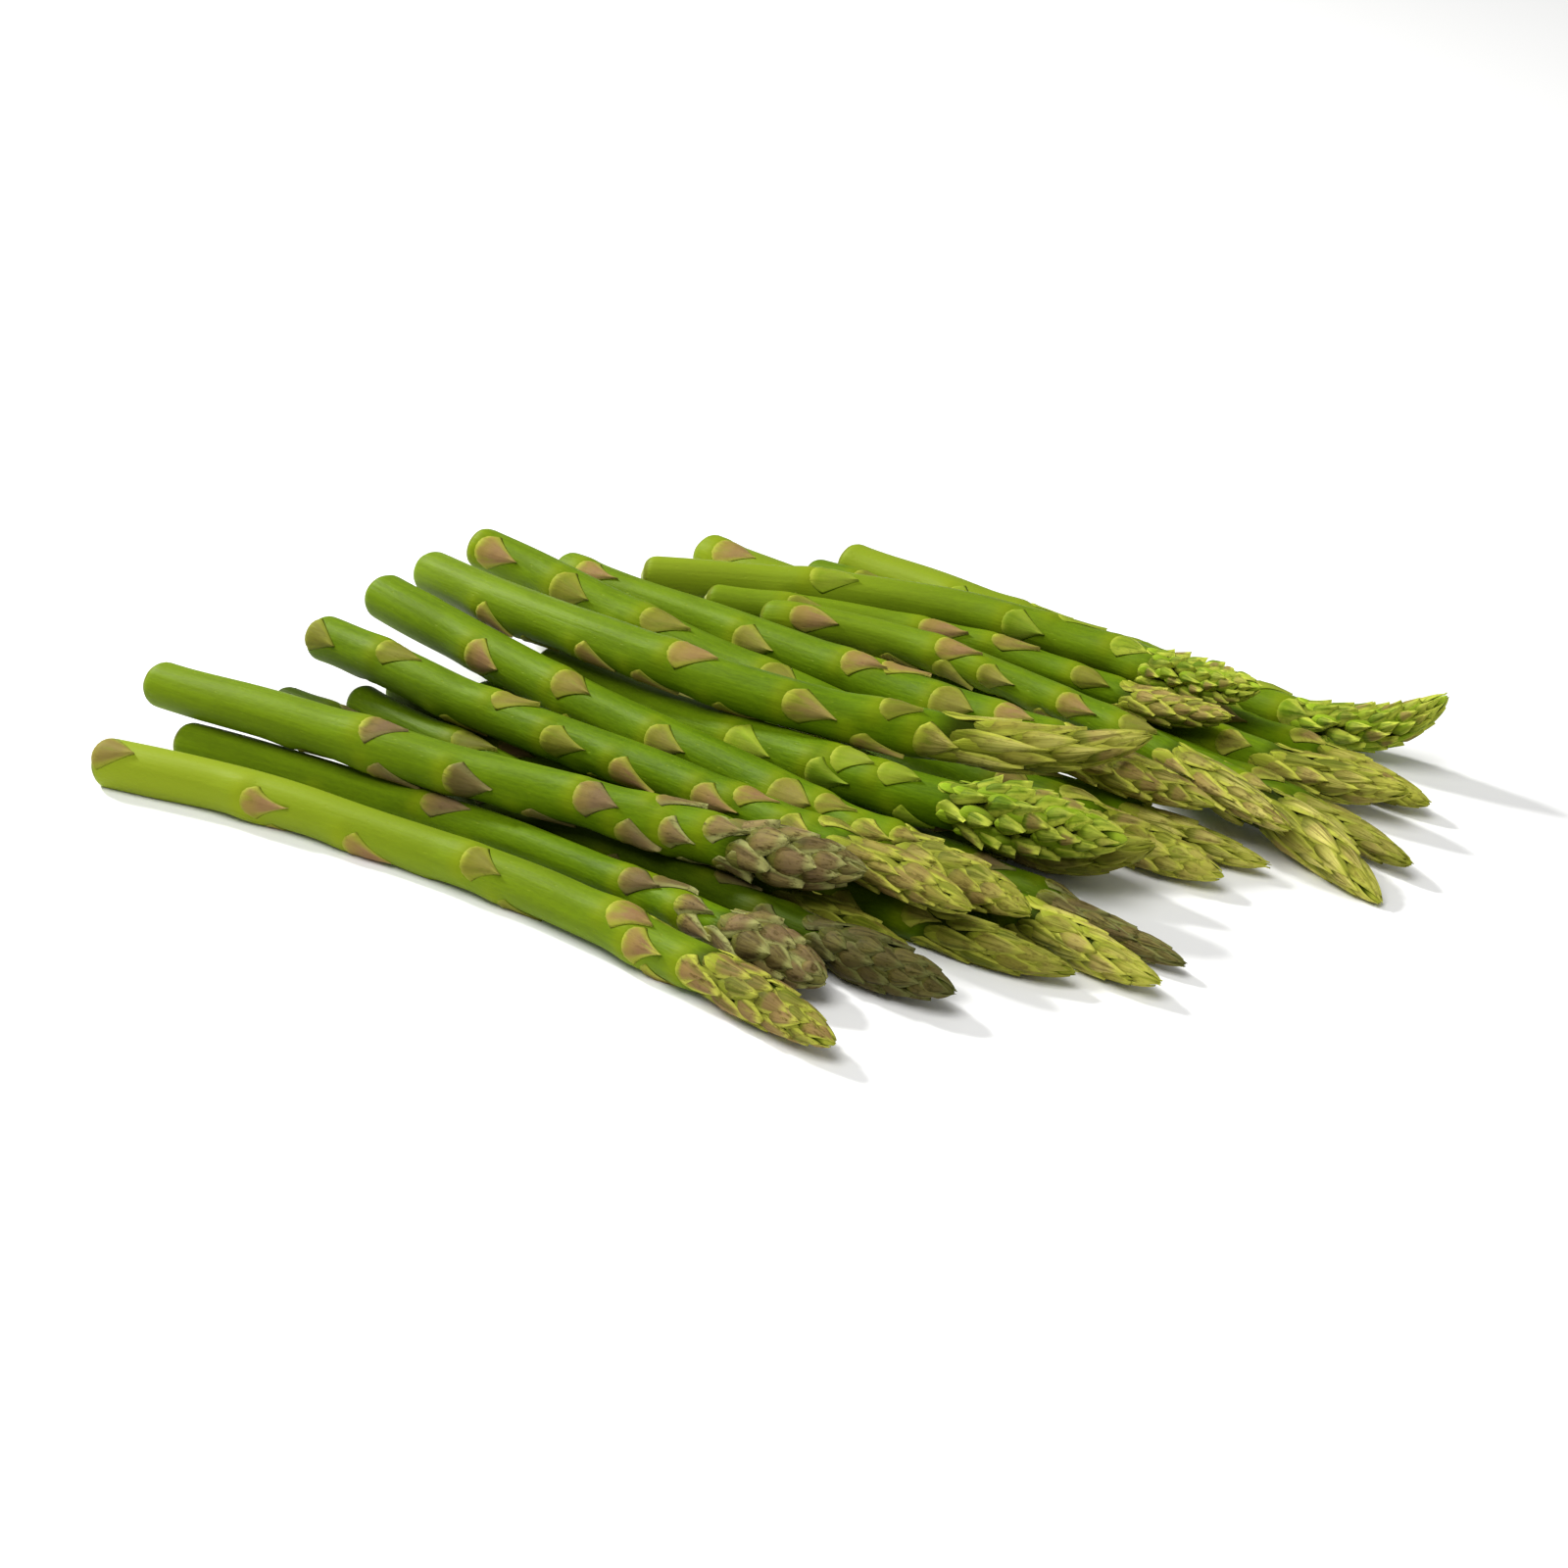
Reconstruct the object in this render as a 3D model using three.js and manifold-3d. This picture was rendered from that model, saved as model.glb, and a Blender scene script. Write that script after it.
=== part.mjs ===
// A bundle of fresh green asparagus: twenty-four cut spears lying in a loose heap, all heads one way.
// Millimetres, +Z up, +X from the cut ends towards the heads, z = 0 is the surface the heap lies on.
// Every spear is one grown piece: a slightly bent, tapering stem with scale leaves on a spiral, and
// a closed head of whorls of leaves that overlap like shingles.
import * as THREE from "three";
import { mergeVertices } from "three/addons/utils/BufferGeometryUtils.js";
import Module from "manifold-3d";

// --- Driving dimensions ---------------------------------------------------------------------

// One row a spear, from the front of the heap to the back. butt, middle and tip are where its
// centre line starts, passes half way and ends. thick is the stem's diameter, head the length of
// the bud head and plump how much wider than the stem the head swells. lift is how far the two ends
// curl up out of that line, and sway how far they curl to the back. open is how far the leaves of
// the head stand off, and turn the bearing of the lowest scale leaf, in degrees.
const SPEARS = [
  { butt: [-135, -76, 5], middle: [-32, -61], tip: [74, -72, 5], thick: 10.4, head: 44, plump: 1.15, turn: 60 },
  { butt: [-130, -57, 6], middle: [-36, -46], tip: [58, -55, 6], thick: 9.0, head: 34, plump: 1.7, lift: [2, 0], turn: 205 },
  { butt: [-141, -55, 10], middle: [-38, -41], tip: [49, -29, 18], thick: 10.7, head: 36, plump: 1.4, lift: [2, 3], turn: 20 },
  { butt: [-129, -27, 5], middle: [-22, -36], tip: [80, -42, 5], thick: 9.0, head: 40, plump: 1.5, turn: 150 },
  { butt: [-116, -15, 5], middle: [-26, -26], tip: [61, -33, 5], thick: 9.0, head: 38, plump: 1.1, turn: 310 },
  { butt: [-130, -17, 16], middle: [-25, -16], tip: [71, -23, 15], thick: 10.0, head: 40, plump: 1.1, sway: [3, 0], lift: [5, 0], turn: 95 },
  { butt: [-115, -4, 5], middle: [0, -19], tip: [91, -16, 3], thick: 9.0, head: 40, plump: 1.1, turn: 255 },
  { butt: [-132, 10, 17], middle: [-24, -3], tip: [77, -16, 5], thick: 10.6, head: 40, plump: 1.2, sway: [-1, 0], lift: [5, 0], turn: 0 },
  { butt: [-95, 4, 5], middle: [8, 4], tip: [107, -11, 5], thick: 9.4, head: 40, plump: 1.1, turn: 175 },
  { butt: [-92, 28, 5], middle: [10, 11], tip: [105, -1, 5], thick: 8.4, head: 40, plump: 1.0, sway: [3, 1], turn: 330 },
  { butt: [-86, 15, 6], middle: [-2, 4], tip: [79, 16, 14], thick: 11.0, head: 44, plump: 1.6, open: 1.5, sway: [0, 2], lift: [0, 1], turn: 115 },
  { butt: [-95, 42, 5], middle: [-4, 22], tip: [80, 25, 8], thick: 9.6, head: 42, plump: 1.35, sway: [-1, 0], lift: [0, 9], turn: 270 },
  { butt: [-131, 24, 19], middle: [-12, 10], tip: [60, 53, 25], thick: 10.8, head: 50, plump: 1.15, lift: [-4, 7], turn: 40 },
  { butt: [-135, 45, 22], middle: [-26, 43], tip: [90, 37, 6], thick: 10.4, head: 38, plump: 1.1, lift: [3, 2], turn: 190 },
  { butt: [-118, 59, 14], middle: [-22, 52], tip: [79, 50, 14], thick: 10.4, head: 44, plump: 1.05, sway: [0, -1], turn: 345 },
  { butt: [-98, 53, 5], middle: [0, 51], tip: [93, 49, 5], thick: 8.6, head: 38, plump: 1.0, sway: [-1, 0], turn: 130 },
  { butt: [-83, 61, 8], middle: [14, 74], tip: [118, 61, 10], thick: 10.0, head: 48, plump: 1.25, sway: [0, -8], lift: [0, -8], turn: 285 },
  { butt: [-60, 67, 13], middle: [14, 72], tip: [96, 51, 12], thick: 7.9, head: 42, plump: 1.25, sway: [-2, 3], lift: [-1, 0], turn: 75 },
  { butt: [-84, 81, 5], middle: [20, 83], tip: [117, 75, 1], thick: 8.6, head: 40, plump: 1.0, sway: [0, -8], lift: [0, 1], turn: 220 },
  { butt: [-79, 66, 13], middle: [-14, 88], tip: [60, 84, 16], thick: 7.2, head: 36, plump: 1.2, lift: [0, 7], turn: 10 },
  { butt: [-101, 65, 15], middle: [-20, 97], tip: [60, 94, 18], thick: 9.6, head: 36, plump: 1.25, open: 1.4, lift: [0, 8], turn: 160 },
  { butt: [-114, 105, 2], middle: [0, 98], tip: [104, 88, 11], thick: 10.0, head: 42, plump: 1.1, sway: [1, 0], lift: [-2, 6], turn: 300 },
  { butt: [-86, 112, 5], middle: [12, 107], tip: [104, 95, 5], thick: 8.6, head: 36, plump: 1.1, turn: 85 },
  { butt: [-84, 125, 5], middle: [18, 117], tip: [95, 116, 3], thick: 10.0, head: 46, plump: 1.25, open: 1.3, lift: [0, 16], turn: 240 },
];

const SIDES = 8; // columns of points round a spear
const BUTT_BEVEL = 1.2; // how far the edge of the cut end is rounded off
const GOLDEN_TURN = 137.5; // degrees round the stem from one scale leaf to the next

// The scale leaves standing alone on the stem: how far their base and their point stand off it.
const STEM_SCALES = 7;
const STEM_SCALE = { length: 12.5, halfAngle: 62, rise: 0.7, lift: 0.8 };

// The scale leaves that cover the head, in whorls of four that overlap like shingles. The lengths
// and the last base are shares of the head.
const WHORLS = 6;
const HEAD_SCALE = { firstLength: 0.34, lastLength: 0.2, lastBase: 0.8, rise: 0.75, lift: 1.0 };
const CORE_SHARE = 0.86; // the head's core, as a share of the head with its scales on

const REACH_GAP = 0.9; // clear space kept between two spears, which their scale leaves stand into
const PRESSED_FLAT = 0.15; // how far a spear on the surface is squashed flat beneath

// --- The centre line of a spear ---------------------------------------------------------------

const POINTS = 24; // steps along a centre line while the heap settles

// The share of the length over which an end curls: the butt, the tip upwards and the tip sideways.
const BUTT_REACH = 0.4;
const LIFT_REACH = 0.25;
const SWAY_REACH = 0.4;

// Weights of the butt, the middle and the tip at the share t of the length: a parabola through all three.
function bendWeights(t) {
  return [(1 - t) * (1 - 2 * t), 4 * t * (1 - t), t * (2 * t - 1)];
}

// How far the curled ends stand off the plain bend at the share t of the length.
function endCurl([buttCurl, tipCurl], t, tipReach) {
  return buttCurl * Math.max(0, 1 - t / BUTT_REACH) ** 2 + tipCurl * Math.max(0, 1 - (1 - t) / tipReach) ** 2;
}

// The radius of a spear, scales included, at a distance from its cut end.
function radiusAt({ thick, head, plump }, distance, length) {
  const along = (distance - (length - head)) / head;
  if (along <= 0) return (thick / 2) * (1.05 - (0.1 * distance) / (length - head));
  const x = Math.min(1, along);
  const swell = 1 + (plump - 1) * Math.sin((Math.PI / 2) * Math.min(1, x / 0.4)) ** 2;
  const taper = (1 - Math.max(0, (x - 0.3) / 0.7) ** 2) ** 0.65;
  return Math.max(0.6, 0.475 * thick * swell * taper);
}

function startOf(row) {
  const { butt, middle, tip, lift = [0, 0], sway = [0, 0] } = row;
  const ends = [butt, [...middle, (butt[2] + tip[2]) / 2], tip].map((p) => new THREE.Vector3(...p));
  const weights = [];
  const rest = [];
  for (let k = 0; k <= POINTS; k++) {
    const t = k / POINTS;
    const w = bendWeights(t);
    const p = new THREE.Vector3(0, endCurl(sway, t, SWAY_REACH), endCurl(lift, t, LIFT_REACH));
    ends.forEach((end, i) => p.addScaledVector(end, w[i]));
    weights.push(w);
    rest.push(p);
  }
  const distances = [0];
  for (let k = 1; k <= POINTS; k++) distances.push(distances[k - 1] + rest[k].distanceTo(rest[k - 1]));
  const length = distances[POINTS];
  return {
    ...row,
    length,
    weights,
    rest,
    line: rest.map((p) => p.clone()),
    radii: distances.map((d) => radiusAt(row, d, length)),
    moved: ends.map(() => new THREE.Vector3()), // how far butt, middle and tip have moved
  };
}

// --- Settling the heap ------------------------------------------------------------------------

// The spears start where the table puts them and are then moved and bent a little, round after
// round, until they lie on the surface and on each other and none crosses another.
const ROUNDS = 900;
const LAST_ROUNDS = 250; // with no weight, so that they only part what still touches
const WEIGHT = 0.04; // how far every spear drops in a round
const GRIP = 0.12; // share of a sideways move that friction takes back in a round
const STIFFNESS = new THREE.Vector3(0.03, 0.03, 0.35); // share of a bend that springs back in a round
const NEIGHBOUR = 30; // spears that start further apart than this never meet

// Adds, to the moves of butt, middle and tip, what takes the point with these weights by step.
function addMove(moves, weights, step) {
  const sum = weights.reduce((total, w) => total + w * w, 0);
  moves.forEach((move, i) => move.addScaledVector(step, weights[i] / sum));
}

function redraw(spear) {
  spear.line.forEach((p, k) => {
    p.copy(spear.rest[k]);
    spear.moved.forEach((move, i) => p.addScaledVector(move, spear.weights[k][i]));
  });
}

// The deepest overlap in each third of spear a with spear b.
function overlaps(a, b) {
  const found = [null, null, null];
  a.line.forEach((p, k) => {
    const third = Math.min(2, Math.floor((3 * k) / (POINTS + 1)));
    for (let m = 0; m < POINTS; m++) {
      const q = b.line[m];
      if (Math.abs(p.x - q.x) > NEIGHBOUR) continue;
      const ex = b.line[m + 1].x - q.x;
      const ey = b.line[m + 1].y - q.y;
      const ez = b.line[m + 1].z - q.z;
      const along = ((p.x - q.x) * ex + (p.y - q.y) * ey + (p.z - q.z) * ez) / (ex * ex + ey * ey + ez * ez);
      const t = Math.min(1, Math.max(0, along));
      const dx = p.x - q.x - t * ex;
      const dy = p.y - q.y - t * ey;
      const dz = p.z - q.z - t * ez;
      const apart = Math.hypot(dx, dy, dz);
      const depth = a.radii[k] + b.radii[m] * (1 - t) + b.radii[m + 1] * t + REACH_GAP - apart;
      if (depth > 0 && depth > (found[third]?.depth ?? 0))
        found[third] = { depth, k, at: (m + t) / POINTS, away: new THREE.Vector3(dx, dy, dz).divideScalar(apart) };
    }
  });
  return found.filter(Boolean);
}

// Lifts a spear where it is lower than the surface.
function liftOffSurface(spear) {
  for (let pass = 0; pass < 2; pass++) {
    const lowest = [null, null, null];
    spear.line.forEach((p, k) => {
      const third = Math.min(2, Math.floor((3 * k) / (POINTS + 1)));
      const depth = spear.radii[k] * Math.cos(Math.PI / SIDES) - PRESSED_FLAT - p.z;
      if (depth > 0 && depth > (lowest[third]?.depth ?? 0)) lowest[third] = { depth, k };
    });
    const hits = lowest.filter(Boolean);
    if (!hits.length) return;
    const moves = spear.moved.map(() => new THREE.Vector3());
    hits.forEach(({ depth, k }) => addMove(moves, spear.weights[k], new THREE.Vector3(0, 0, depth)));
    moves.forEach((move, i) => spear.moved[i].addScaledVector(move, 1 / Math.max(1, 0.6 * hits.length)));
    redraw(spear);
  }
}

function settle(spears) {
  const pairs = [];
  spears.forEach((a, i) =>
    spears.slice(i + 1).forEach((b) => {
      if (a.line.some((p) => b.line.some((q) => p.distanceTo(q) < NEIGHBOUR))) pairs.push([a, b]);
    }),
  );
  for (let round = 0; round < ROUNDS + LAST_ROUNDS; round++) {
    const steps = new Map(spears.map((s) => [s, { hits: 0, moves: s.moved.map(() => new THREE.Vector3()) }]));
    for (const [a, b] of pairs)
      for (const { depth, k, at, away } of overlaps(a, b)) {
        const step = away.multiplyScalar(0.3 * depth);
        addMove(steps.get(a).moves, a.weights[k], step);
        addMove(steps.get(b).moves, bendWeights(at), step.clone().negate());
        steps.get(a).hits++;
        steps.get(b).hits++;
      }
    for (const spear of spears) {
      const { hits, moves } = steps.get(spear);
      moves.forEach((move, i) => spear.moved[i].addScaledVector(move, 1 / Math.max(1, 0.5 * hits)));
      if (round < ROUNDS) {
        const [butt, middle, tip] = spear.moved;
        const bend = middle.clone().sub(butt.clone().add(tip).multiplyScalar(0.5));
        middle.sub(bend.multiply(STIFFNESS));
        for (const move of spear.moved) {
          move.x *= 1 - GRIP;
          move.y *= 1 - GRIP;
          move.z -= WEIGHT;
        }
      }
      redraw(spear);
      liftOffSurface(spear);
    }
  }
}

// --- Shape --------------------------------------------------------------------------------------

// The radius of the body that the scale leaves grow from: the stem itself, and a slimmer core in the head.
function coreRadius(spear, distance) {
  const along = (distance - (spear.length - spear.head)) / spear.head;
  const share = 1 - (1 - CORE_SHARE) * Math.min(1, Math.max(0, along / 0.25));
  return radiusAt(spear, distance, spear.length) * share;
}

// The skin of one spear while it is built: its points, and the faces between them. A point is given
// by its distance from the cut end, its bearing round the centre line (90 degrees is up) and how far
// it stands off the core.
class Skin {
  constructor(spear) {
    this.spear = spear;
    this.curve = new THREE.CatmullRomCurve3(spear.line);
    this.points = [];
    this.faces = [];
  }

  point(distance, bearing, off) {
    const t = Math.min(1, distance / this.spear.length);
    const forward = this.curve.getTangent(t);
    const side = new THREE.Vector3().crossVectors(forward, new THREE.Vector3(0, 0, 1)).normalize();
    const up = new THREE.Vector3().crossVectors(side, forward);
    const radius = Math.max(0, coreRadius(this.spear, distance) + off);
    const angle = THREE.MathUtils.degToRad(bearing);
    const p = this.curve.getPoint(t).addScaledVector(side, radius * Math.cos(angle));
    return this.points.push(p.addScaledVector(up, radius * Math.sin(angle))) - 1;
  }

  // A ring of points, one a column. place gives the distance and the height off the core of a column.
  ring(bearing, place) {
    return Array.from({ length: SIDES }, (_, column) => {
      const [distance, off] = place(column);
      return this.point(distance, bearing + (360 / SIDES) * column, off);
    });
  }

  // Faces between two rings, column by column.
  join(low, high) {
    low.forEach((a, column) => {
      const next = (column + 1) % SIDES;
      this.faces.push([a, high[column], high[next]], [a, high[next], low[next]]);
    });
  }
}

// The cut end: a flat face with a rounded edge. Returns its last ring.
function addButt(skin, bearing) {
  const centre = skin.point(0, 0, -skin.spear.thick);
  const face = skin.ring(bearing, () => [0, -0.09 * skin.spear.thick]);
  face.forEach((a, column) => skin.faces.push([centre, a, face[(column + 1) % SIDES]]));
  const edge = skin.ring(bearing, () => [BUTT_BEVEL, 0]);
  skin.join(face, edge);
  return edge;
}

// One scale leaf on the stem: a pointed leaf that hugs the stem and stands off it at its base, along
// its middle line and at its point. It grows at the first column between two rings, low and high.
function addStemScale(skin, low, high, base, length, bearing) {
  const { halfAngle, rise, lift } = STEM_SCALE;
  // The foot of the leaf on the stem and its edge above that, going round from the left of its base.
  const outline = [
    { along: 0, turn: -1, off: 0.6 * rise },
    { along: 0.42, turn: -0.8, off: 0.45 * rise },
    { along: 1, turn: 0, off: lift },
    { along: 0.42, turn: 0.8, off: 0.45 * rise },
    { along: 0, turn: 1, off: 0.6 * rise },
    { along: 0, turn: 0, off: rise },
  ];
  const foot = outline.map(({ along, turn }) =>
    skin.point(base + 0.9 * along * length, bearing + turn * halfAngle, 0),
  );
  const edge = outline.map(({ along, turn, off }) =>
    skin.point(base + along * length, bearing + 0.96 * turn * halfAngle, off),
  );
  const middle = skin.point(base + 0.42 * length, bearing, rise);
  outline.forEach((_, i) => {
    const next = (i + 1) % outline.length;
    skin.faces.push([foot[i], foot[next], edge[next]], [foot[i], edge[next], edge[i]]);
    skin.faces.push([edge[i], edge[next], middle]);
  });

  // The stem round the leaf, from two columns left of it to two columns right, and the rest behind it.
  const [left, left1, left2] = [low[0], low[SIDES - 1], low[SIDES - 2]];
  const [right, right1, right2] = [high[0], high[SIDES - 1], high[SIDES - 2]];
  skin.faces.push(
    [left2, foot[0], left1], [left1, foot[0], foot[5]], [left1, foot[5], left],
    [left, foot[5], low[1]], [low[1], foot[5], foot[4]], [low[1], foot[4], low[2]],
    [low[2], foot[4], high[2]], [foot[4], foot[3], high[2]], [foot[3], high[1], high[2]],
    [foot[3], foot[2], high[1]], [foot[2], right, high[1]], [foot[2], right1, right],
    [foot[1], right1, foot[2]], [foot[1], right2, right1], [foot[0], right2, foot[1]],
    [left2, right2, foot[0]],
  );
  for (let column = 2; column < SIDES - 2; column++)
    skin.faces.push([low[column], high[column], high[column + 1]], [low[column], high[column + 1], low[column + 1]]);
}

// The head: whorls of leaves, each leaf rising from the core to a free point over the next whorl.
// Leaves and the gaps between them take turns, and so do the columns they stand on.
function addHead(skin, ring, bearing) {
  const { length, head, thick, open = 1 } = skin.spear;
  let below = ring;
  for (let whorl = 0; whorl < WHORLS; whorl++) {
    const share = whorl / (WHORLS - 1);
    const base = length - head * (1 - HEAD_SCALE.lastBase * share);
    const leaf = head * THREE.MathUtils.lerp(HEAD_SCALE.firstLength, HEAD_SCALE.lastLength, share);
    const size = (open * 2 * coreRadius(skin.spear, base + leaf / 2)) / thick;
    const addRing = (onLeaf, onGap) =>
      skin.ring(bearing + 8 * whorl, (column) => {
        const [along, off] = (column + whorl) % 2 === 0 ? onLeaf : onGap;
        const late = (1 - share) * 0.06 * leaf * (((3 * column) % SIDES) / SIDES);
        return [base + late + along * leaf, size * off];
      });
    const waist = addRing([0.45, HEAD_SCALE.rise], [0.4, 0]);
    const tips = addRing([1, HEAD_SCALE.lift], [0.56, 0]);
    const under = addRing([0.84, 0], [0.66, -0.15]);
    skin.join(below, waist);
    skin.join(waist, tips);
    skin.join(tips, under);
    below = under;
  }
  const point = skin.point(length, 0, -thick);
  below.forEach((a, column) => skin.faces.push([a, point, below[(column + 1) % SIDES]]));
}

// A ring's columns counted from the one that lies at the next leaf's bearing.
function recount(ring, columns) {
  return ring.map((_, column) => ring[(column + columns) % SIDES]);
}

function growSpear(spear) {
  const skin = new Skin(spear);
  const foot = spear.length - spear.head;
  const bases = Array.from({ length: STEM_SCALES }, (_, n) => foot * ((n + 0.4) / (STEM_SCALES + 0.2)) ** 0.8);
  const columnsOn = Math.round((GOLDEN_TURN / 360) * SIDES);
  let bearing = spear.turn;
  let below = addButt(skin, bearing);
  bases.forEach((base, n) => {
    const end = bases[n + 1] === undefined ? foot : bases[n + 1] - 0.6;
    const above = skin.ring(bearing, () => [end, 0]);
    addStemScale(skin, below, above, base, Math.min(STEM_SCALE.length, end - base - 1.4), bearing);
    below = recount(above, columnsOn);
    bearing += GOLDEN_TURN;
  });
  addHead(skin, below, bearing);
  return skin;
}

// --- The bundle -----------------------------------------------------------------------------------

const wasm = await Module();
wasm.setup();

function solidOf(geometry) {
  geometry.deleteAttribute("normal");
  geometry.deleteAttribute("uv");
  const merged = mergeVertices(geometry, 1e-4);
  return new wasm.Manifold(
    new wasm.Mesh({
      numProp: 3,
      vertProperties: merged.attributes.position.array,
      triVerts: new Uint32Array(merged.index.array),
    }),
  );
}

function geometryOf(solid) {
  const { vertProperties, triVerts } = solid.getMesh();
  const geometry = new THREE.BufferGeometry();
  geometry.setAttribute("position", new THREE.BufferAttribute(vertProperties, 3));
  return geometry.setIndex(new THREE.BufferAttribute(triVerts, 1));
}

// What lies below the surface: whatever a spear presses into it is cut off flat.
const UNDER = solidOf(new THREE.BoxGeometry(600, 600, 40).translate(0, 0, -20));

const spears = SPEARS.map(startOf);
settle(spears);

const bundle = new THREE.Group();
spears.forEach((spear, i) => {
  const skin = growSpear(spear);
  const grown = new THREE.BufferGeometry().setFromPoints(skin.points).setIndex(skin.faces.flat());
  const material = new THREE.MeshStandardMaterial({ color: 0x7fa62b, roughness: 0.5, metalness: 0 });
  const mesh = new THREE.Mesh(geometryOf(solidOf(grown).subtract(UNDER)), material);
  mesh.name = `spear_${String(i + 1).padStart(2, "0")}`;
  bundle.add(mesh);
});

// The origin is on the surface, under the middle of the heap.
const box = new THREE.Box3().setFromObject(bundle);
bundle.position.set(-(box.min.x + box.max.x) / 2, -(box.min.y + box.max.y) / 2, 0);

export default bundle;
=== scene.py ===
# %% [markdown]
# # A bundle of fresh asparagus
# Twenty-four green spears lie in a loose heap on a pale floor, all heads one way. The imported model
# holds every spear as one coarse solid, and this lesson grows a fine spear round each of them.
# A spear is a juicy stem, a few papery scale leaves pressed to it, and a head of tightly packed
# scale leaves with a bud behind each. It could be sculpted by hand, but a plant builds itself by a
# rule, one leaf after another up a spiral, so a rule with seeded chance makes all of them.

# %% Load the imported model
import math

import bpy
import numpy as np
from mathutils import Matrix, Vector


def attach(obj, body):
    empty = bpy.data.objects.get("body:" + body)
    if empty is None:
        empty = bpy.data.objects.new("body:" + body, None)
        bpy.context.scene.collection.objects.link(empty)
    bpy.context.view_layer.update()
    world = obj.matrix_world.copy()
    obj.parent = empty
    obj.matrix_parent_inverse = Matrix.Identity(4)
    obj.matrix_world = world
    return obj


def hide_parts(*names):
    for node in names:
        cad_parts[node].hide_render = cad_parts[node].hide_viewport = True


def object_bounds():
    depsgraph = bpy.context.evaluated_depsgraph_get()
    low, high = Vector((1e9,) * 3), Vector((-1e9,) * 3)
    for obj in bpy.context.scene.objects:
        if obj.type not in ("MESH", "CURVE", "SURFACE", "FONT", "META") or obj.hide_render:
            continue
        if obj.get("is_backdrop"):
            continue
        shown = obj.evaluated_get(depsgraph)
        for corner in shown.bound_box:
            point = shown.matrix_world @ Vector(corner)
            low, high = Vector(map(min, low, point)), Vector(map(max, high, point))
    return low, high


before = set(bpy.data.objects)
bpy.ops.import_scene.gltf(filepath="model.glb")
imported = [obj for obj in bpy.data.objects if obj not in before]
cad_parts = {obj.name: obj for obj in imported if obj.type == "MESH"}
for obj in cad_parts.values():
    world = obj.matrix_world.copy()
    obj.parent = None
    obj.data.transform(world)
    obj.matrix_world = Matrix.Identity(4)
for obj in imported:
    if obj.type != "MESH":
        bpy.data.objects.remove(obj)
cad_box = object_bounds()
print("the packed model's box, in metres:", [[round(x, 4) for x in corner] for corner in cad_box])

MM = 0.001  # the sizes below are in millimetres, and Blender's are in metres

# %% [markdown]
# ## The camera
# The bundle is seen from its heads' end, a little above the table, with a long lens that keeps the
# spears nearly parallel. A camera that aims at a point is easiest to place by a turn and a tilt
# round that point, so those two angles are the values to change.

# %% Place the camera
LOOK_AT = Vector((11.69, -24.10, 12.0)) * MM
TURN, TILT = 40.0, 25.0  # degrees round LOOK_AT from the front, and up from the table
AWAY = 800.0 * MM
LENS, SENSOR = 84.96, 36.0  # millimetres, as on a real camera
CLIP_START = 0.01  # metres


def towards(turn, tilt):
    """The direction from the bundle to something at that turn and tilt, in degrees."""
    turn, tilt = math.radians(turn), math.radians(tilt)
    return Vector((math.cos(tilt) * math.sin(turn), -math.cos(tilt) * math.cos(turn), math.sin(tilt)))


camera = bpy.data.objects.new("camera", bpy.data.cameras.new("camera"))
bpy.context.scene.collection.objects.link(camera)
camera.location = LOOK_AT + towards(TURN, TILT) * AWAY
camera.rotation_euler = (LOOK_AT - camera.location).to_track_quat("-Z", "Y").to_euler()
camera.data.lens = LENS
camera.data.sensor_width = SENSOR
camera.data.sensor_fit = "HORIZONTAL"
camera.data.clip_start = CLIP_START
bpy.context.scene.camera = camera
print("the camera stands at", [round(x, 3) for x in camera.location])

# %% [markdown]
# ## The floor
# A studio table is a plain pale sheet. A curved backdrop would hide its far edge, but a flat sheet
# that is large enough needs no bend. It is marked as stage, as it isn't a piece of the bundle.

# %% Lay the floor
FLOOR_HALF = 4.0  # metres
FLOOR_WHITE = (0.93, 0.93, 0.92, 1.0)
FLOOR_ROUGHNESS = 0.7

floor_mesh = bpy.data.meshes.new("floor")
corners = [(x * FLOOR_HALF, y * FLOOR_HALF, 0.0) for x, y in ((-1, -1), (1, -1), (1, 1), (-1, 1))]
floor_mesh.from_pydata(corners, [], [(0, 1, 2, 3)])
floor = bpy.data.objects.new("floor", floor_mesh)
bpy.context.scene.collection.objects.link(floor)
floor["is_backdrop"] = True

paper = bpy.data.materials.new("pale paper")
paper.use_nodes = True
paper_shader = paper.node_tree.nodes["Principled BSDF"]
paper_shader.inputs["Base Color"].default_value = FLOOR_WHITE
paper_shader.inputs["Roughness"].default_value = FLOOR_ROUGHNESS
floor_mesh.materials.append(paper)
print("a floor", 2 * FLOOR_HALF, "metres wide")

# %% [markdown]
# ## The light
# One lamp stands off the cut ends and throws the short shadows beside the heads: the smaller it is,
# the crisper they get. A wide lamp high in front lights the tops of the stems evenly, and a white
# sky fills what both leave dark.

# %% Hang the lamps and light the sky
SKY_STRENGTH = 0.31
SKY_WHITE = (1.0, 1.0, 1.0, 1.0)
# Turn and tilt are in degrees, as for the camera, away and side in metres, and power in watts.
LAMPS = {
    "key lamp": {"turn": -92.0, "tilt": 34.0, "away": 1.3, "side": 0.15, "power": 19.0},
    "fill lamp": {"turn": 10.0, "tilt": 65.0, "away": 1.4, "side": 0.9, "power": 14.0},
}

for name, lamp in LAMPS.items():
    data = bpy.data.lights.new(name, "AREA")
    data.size = lamp["side"]
    data.energy = lamp["power"]
    light = bpy.data.objects.new(name, data)
    light.location = LOOK_AT + towards(lamp["turn"], lamp["tilt"]) * lamp["away"]
    light.rotation_euler = (LOOK_AT - light.location).to_track_quat("-Z", "Y").to_euler()
    bpy.context.scene.collection.objects.link(light)

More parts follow.
